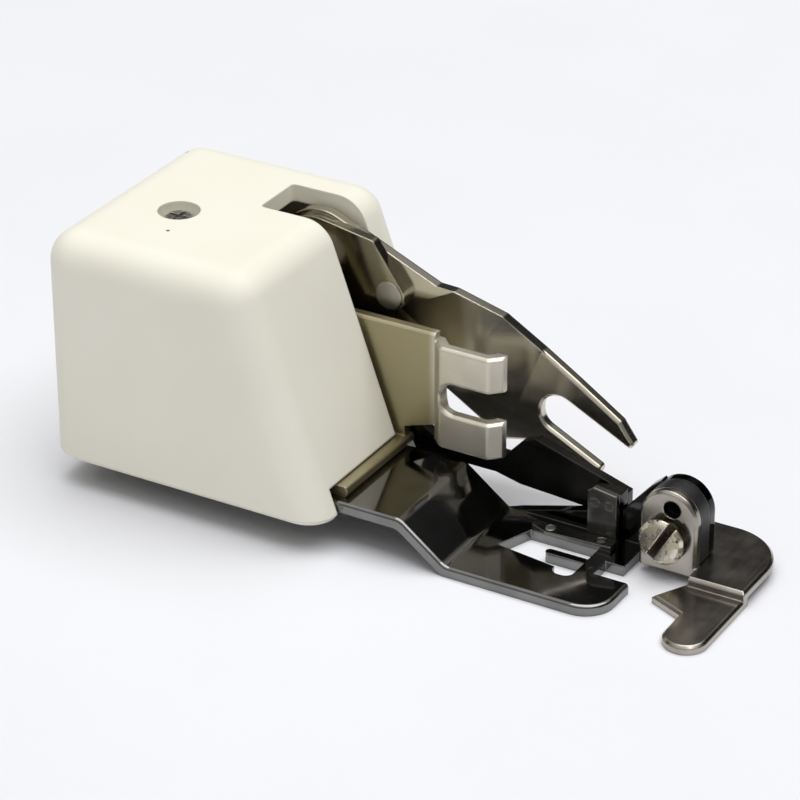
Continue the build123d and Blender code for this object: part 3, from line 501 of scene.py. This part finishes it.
# A darker copy of the nickel for the crank plate: painted dark reflection.
CRANK_PAINTED_REFLECTION = PlatedMetal(
    "nickel_crank_painted_reflection",
    colour=(0.42, 0.39, 0.3),
    tarnish=(0.35, 0.32, 0.23),
    roughness=0.14,
    smudge=0.02,
    lines=Along.Y,
)
LEVER_NICKEL = PlatedMetal(
    "nickel_lever",
    colour=(0.62, 0.58, 0.49),
    tarnish=(0.54, 0.5, 0.4),
    roughness=0.13,
    smudge=0.03,
    lines=Along.Y,
)
CHROME = PlatedMetal(
    "chrome_sole",
    colour=(0.22, 0.218, 0.212),
    tarnish=(0.185, 0.183, 0.176),
    roughness=0.05,
    smudge=0.04,
    lines=Along.Y,
    zone=FAR_FLANGE,
)
DARK_STEEL = PlatedMetal(
    "black_lever_steel",
    colour=(0.03, 0.029, 0.027),
    tarnish=(0.02, 0.019, 0.018),
    roughness=0.2,
    smudge=0.1,
    lines=Along.Y,
)
BLADE_STEEL = PlatedMetal(
    "ground_knife",
    colour=(0.2, 0.195, 0.18),
    tarnish=(0.15, 0.147, 0.137),
    roughness=0.16,
    smudge=0.08,
    lines=Along.Z,
)
GUIDE_STEEL = PlatedMetal(
    "polished_guide",
    colour=(0.42, 0.39, 0.345),
    tarnish=(0.33, 0.305, 0.265),
    roughness=0.15,
    smudge=0.07,
    lines=Along.X,
)
ZINC = PlatedMetal(
    "zinc_fastener",
    colour=(0.55, 0.54, 0.51),
    tarnish=(0.45, 0.44, 0.4),
    roughness=0.24,
    smudge=0.12,
    lines=Along.Z,
)
WORN_PLATE = WornPlating(
    "worn_screw",
    plating=(0.7, 0.66, 0.56),
    bare=(0.55, 0.48, 0.35),
    grime=(0.05, 0.045, 0.04),
    roughness=0.2,
    slot=SCREW_SLOT,
)
BLACK = BlackenedSteel(
    "black_block",
    colour=(0.009, 0.009, 0.01),
    rub=(0.026, 0.025, 0.025),
    roughness=0.32,
)


@lru_cache(maxsize=None)
def material_of(finish: Finish) -> bpy.types.Material:
    """Makes a finish's material once.

    Args:
        finish: the finish.

    Returns:
        Its material, the same one for every piece that has the finish.
    """
    return finish.material()


def dress(node: str, finish: Finish) -> None:
    """Gives a solid its finish in every material slot.

    Args:
        node: name of the solid.
        finish: the finish it gets.
    """
    material = material_of(finish)
    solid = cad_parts[node]
    if not solid.material_slots:
        solid.data.materials.append(material)
    for slot in solid.material_slots:
        slot.material = material
    log.info("%s dressed in %s", node, finish.name)


def grid_mesh(name: str, points: np.ndarray) -> bpy.types.Object:
    """Makes a mesh from a grid of points, with one face between each four neighbours.

    Args:
        name: the piece's name.
        points: array of rows by columns by 3, in metres.

    Returns:
        The piece, linked to the scene.
    """
    rows, columns = points.shape[:2]
    index = np.arange(rows * columns).reshape(rows, columns)
    quads = np.stack([index[:-1, :-1], index[:-1, 1:], index[1:, 1:], index[1:, :-1]], axis=-1)
    mesh = bpy.data.meshes.new(name)
    mesh.from_pydata(points.reshape(-1, 3).tolist(), [], quads.reshape(-1, 4).tolist())
    mesh.update()
    piece = bpy.data.objects.new(name, mesh)
    bpy.context.scene.collection.objects.link(piece)
    return piece


@dataclass
class Cover:
    """The moulded housing, its screw and the post that takes the screw."""

    housing: str = "housing"
    fastenings: tuple[str, ...] = ("housing_screw", "housing_post")

    def dress(self) -> None:
        """Cream moulding over zinc fastenings."""
        dress(self.housing, CREAM)
        for node in self.fastenings:
            dress(node, ZINC)


@dataclass
class Base:
    """The folded base plate, the hooked bracket, the fixed knife, their rivets and both pivots."""

    plate: str = "base_plate"
    bracket: str = "shank_bracket"
    fixed_knife: str = "lower_knife"
    fastenings: tuple[str, ...] = (
        "bracket_rivets",
        "lever_pivot",
        "lever_clip",
        "lever_bush",
        "knife_pivot",
        "knife_clip",
        "knife_washer",
        "lower_knife_rivets",
    )

    def dress(self) -> None:
        """Chrome sole, nickel bracket, steel knife and zinc fastenings."""
        dress(self.plate, CHROME)
        # The bracket's nickel has a painted reflection on its web.
        dress(self.bracket, NICKEL)
        dress(self.fixed_knife, BLADE_STEEL)
        for node in self.fastenings:
            dress(node, ZINC)


@dataclass
class ForkLever:
    """The needle-bar lever with its crank plate, rivet and drive pin."""

    lever: str = "fork_lever"
    crank: str = "crank_plate"
    pins: tuple[str, ...] = ("crank_rivet", "drive_pin")

    def dress(self) -> None:
        """Nickel sheets and zinc pins."""
        dress(self.lever, LEVER_NICKEL)
        # The crank's darker nickel is painted dark reflection.
        dress(self.crank, CRANK_PAINTED_REFLECTION)
        for node in self.pins:
            dress(node, ZINC)


@dataclass
class KnifeLever:
    """The dark lever that carries the moving knife."""

    dark: tuple[str, ...] = ("knife_lever", "blade_spacer")
    ground: tuple[str, ...] = ("upper_knife", "blade_rivets")

    def dress(self) -> None:
        """Dark steel lever, ground blade and rivets."""
        for node in self.dark:
            dress(node, DARK_STEEL)
        for node in self.ground:
            dress(node, BLADE_STEEL)


@dataclass
class SeamGuide:
    """The front guide with its black distance block, screw and nut."""

    plate: str = "guide_plate"
    holder: str = "guide_holder"
    screw: str = "guide_screw"
    nut: str = "guide_nut"

    def dress(self) -> None:
        """Polished steel plate, black block, worn screw and zinc nut."""
        dress(self.plate, GUIDE_STEEL)
        dress(self.holder, BLACK)
        dress(self.screw, WORN_PLATE)
        dress(self.nut, ZINC)


@dataclass
class Studio:
    """Pale floor, soft light overhead, a room and the camera; places in metres, angles in degrees."""

    eye: Place = (-285.758 * MM, -163.62 * MM, 190.686 * MM)
    azimuth: float = 30.239
    elevation: float = 28.293
    roll: float = -0.16
    focal_pixels: float = 3531.7
    clip: Span = (0.01, 20.0)
    floor_side: float = 6.0
    floor_points: int = 5
    floor_colour: Colour = (0.8, 0.805, 0.835)
    floor_roughness: float = 0.7
    floor_shine: float = 0.2
    paper_size: float = 30 * MM
    paper_detail: float = 4.0
    paper_span: Span = (0.3, 0.7)
    paper_dim: float = 0.985
    key_side: float = 1.5
    key_place: Place = (0.1, -0.25, 1.4)
    key_power: float = 17.0
    room_dark: float = 0.02
    room_pale: float = 0.28
    room_span: Span = (0.0, 0.6)
    ceiling: float = 0.9
    ceiling_span: Span = (0.52, 0.8)

    def place_camera(self) -> None:
        """Camera that looks along the photograph's azimuth and elevation."""
        data = bpy.data.cameras.new("camera")
        data.sensor_width = SENSOR_WIDTH
        data.lens = self.focal_pixels / IMAGE_SIDE * SENSOR_WIDTH
        data.clip_start, data.clip_end = self.clip
        camera = bpy.data.objects.new("camera", data)
        bpy.context.scene.collection.objects.link(camera)
        az = math.radians(self.azimuth)
        el = math.radians(self.elevation)
        forward = Vector((math.cos(el) * math.cos(az), math.cos(el) * math.sin(az), -math.sin(el)))
        upright = forward.to_track_quat("-Z", "Y").to_matrix()
        turn = upright @ Matrix.Rotation(math.radians(self.roll), 3, "Z")
        camera.matrix_world = Matrix.Translation(self.eye) @ turn.to_4x4()
        bpy.context.scene.camera = camera

    def lay_floor(self) -> None:
        """Flat pale floor, a square grid at height zero, with a hardly visible paper tone."""
        half = self.floor_side / 2
        across = np.linspace(-half, half, self.floor_points)
        x, y = np.meshgrid(across, across)
        floor = grid_mesh("floor", np.stack([x, y, np.zeros_like(x)], axis=-1))
        material, shader = new_material("pale_floor")
        paper = shader.noise(self.paper_size, self.paper_detail)
        darker = tuple(self.paper_dim * c for c in self.floor_colour)
        tone = shader.mix(paper.ramp(self.paper_span), self.floor_colour, darker)
        shader.surface(
            {
                "Base Color": tone,
                "Roughness": self.floor_roughness,
                "Specular IOR Level": self.floor_shine,
            }
        )
        floor.data.materials.append(material)

    def hang_light(self) -> None:
        """One large soft light overhead."""
        data = bpy.data.lights.new("key", "AREA")
        data.shape = "SQUARE"
        data.size = self.key_side
        data.energy = self.key_power
        light = bpy.data.objects.new("key", data)
        light.location = self.key_place
        bpy.context.scene.collection.objects.link(light)

    def surround(self) -> None:
        """Room with a bright ceiling, pale on the near side and dim on the far side."""
        world = bpy.data.worlds.new("room")
        bpy.context.scene.world = world
        world.use_nodes = True
        shader = Shader(world.node_tree)
        overhead = shader.along("Generated", UPWARDS).ramp(self.ceiling_span)
        near = shader.along("Generated", NEARWARDS).ramp(self.room_span)
        walls = shader.mix(near, (self.room_dark,) * 3, (self.room_pale,) * 3)
        shade = shader.mix(overhead, walls, (self.ceiling,) * 3)
        background = shader.node("ShaderNodeBackground", None, {"Color": shade, "Strength": 1.0})
        shader.node("ShaderNodeOutputWorld", None, {"Surface": background})

    def build(self) -> None:
        """Sets up the whole studio."""
        self.place_camera()
        self.lay_floor()
        self.hang_light()
        self.surround()
        bpy.context.scene.view_settings.view_transform = "Standard"


def main() -> None:
    """Dresses every sub-assembly, then builds the studio."""
    logging.basicConfig(level=logging.INFO)
    for part in (Cover(), Base(), ForkLever(), KnifeLever(), SeamGuide()):
        part.dress()
        log.info("%s done", type(part).__name__)
    Studio().build()


if __name__ == "__main__":
    main()
